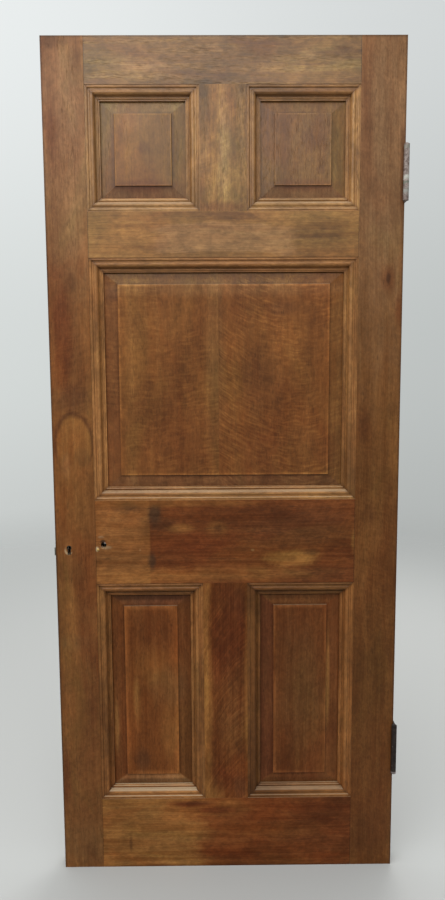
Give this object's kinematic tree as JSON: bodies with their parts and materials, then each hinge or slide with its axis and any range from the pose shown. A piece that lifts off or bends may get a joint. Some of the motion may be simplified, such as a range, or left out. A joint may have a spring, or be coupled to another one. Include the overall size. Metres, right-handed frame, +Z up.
{
  "type": "panel door",
  "caption": "Stained oak door leaf with raised panels and planted mouldings, hung on iron butt hinges, with a mortice lock, keyhole and empty spindle hole.",
  "frame": {"origin": "middle of the leaf's bottom edge, at half its thickness", "axes": "+Z up, +X towards the hinges, -Y out of the moulded front face"},
  "size_m": [0.8545, 0.0585, 2.032],
  "materials": {
    "oak_frame": "stained oak, satin, worn",
    "oak_panel": "stained oak, satin, worn",
    "oak_moulding": "stained oak, satin, worn",
    "oak_wedge": "oak, end grain showing",
    "hinge_iron": "dark, rough, old paint",
    "screw_steel": "dull, tarnished",
    "lock_brass": "dull, tarnished",
    "lock_steel": "dull, oiled"
  },
  "bodies": {
    "jamb_side": {"upper_jamb_leaf": "hinge_iron", "upper_pin": "hinge_iron", "lower_jamb_leaf": "hinge_iron", "lower_pin": "hinge_iron"},
    "door": {"lock_stile": "oak_frame", "hinge_stile": "oak_frame", "top_rail": "oak_frame", "frieze_rail": "oak_frame", "lock_rail": "oak_frame", "bottom_rail": "oak_frame", "upper_muntin": "oak_frame", "lower_muntin": "oak_frame", "top_left_panel": "oak_panel", "top_right_panel": "oak_panel", "middle_panel": "oak_panel", "lower_left_panel": "oak_panel", "lower_right_panel": "oak_panel", "top_left_moulding_bottom": "oak_moulding", "top_left_moulding_right": "oak_moulding", "top_left_moulding_top": "oak_moulding", "top_left_moulding_left": "oak_moulding", "top_right_moulding_bottom": "oak_moulding", "top_right_moulding_right": "oak_moulding", "top_right_moulding_top": "oak_moulding", "top_right_moulding_left": "oak_moulding", "middle_moulding_bottom": "oak_moulding", "middle_moulding_right": "oak_moulding", "middle_moulding_top": "oak_moulding", "middle_moulding_left": "oak_moulding", "lower_left_moulding_bottom": "oak_moulding", "lower_left_moulding_right": "oak_moulding", "lower_left_moulding_top": "oak_moulding", "lower_left_moulding_left": "oak_moulding", "lower_right_moulding_bottom": "oak_moulding", "lower_right_moulding_right": "oak_moulding", "lower_right_moulding_top": "oak_moulding", "lower_right_moulding_left": "oak_moulding", "lock_stile_wedges": "oak_wedge", "hinge_stile_wedges": "oak_wedge", "upper_door_leaf": "hinge_iron", "upper_hinge_screws": "screw_steel", "lower_door_leaf": "hinge_iron", "lower_hinge_screws": "screw_steel", "forend": "lock_brass", "forend_screws": "lock_brass", "keyhole_lining": "lock_brass", "rose_screw": "lock_brass", "lock_case": "lock_steel", "lock_cap": "lock_steel", "cap_screws": "lock_steel", "latch_spring": "lock_steel", "bow_spring": "lock_steel"},
    "latch": {"latch_bolt": "lock_brass"},
    "dead_bolt": {"dead_bolt": "lock_brass"},
    "follower": {"follower": "lock_brass"}
  },
  "joints": [
    {"name": "door_swing", "type": "hinge", "parent": "jamb_side", "child": "door", "pos_m": [0.421, -0.0295, 0.3175], "axis": [0, 0, 1], "range_deg": [0, 170]},
    {"name": "follower_turn", "type": "hinge", "parent": "door", "child": "follower", "pos_m": [-0.302, 0, 0.849], "axis": [0, -1, 0], "range_deg": [0, 25]},
    {"name": "latch_slide", "type": "slide", "parent": "door", "child": "latch", "axis": [1, 0, 0], "range_m": [0, 0.0072], "stiffness_N_per_m": 300, "springref_m": -0.008, "deforming": ["latch_spring"]},
    {"name": "dead_bolt_slide", "type": "slide", "parent": "door", "child": "dead_bolt", "axis": [-1, 0, 0], "range_m": [0, 0.012]}
  ],
  "couplings": [
    {"joint": "follower_turn", "follows": "latch_slide", "rad_per_m": 60.6}
  ]
}
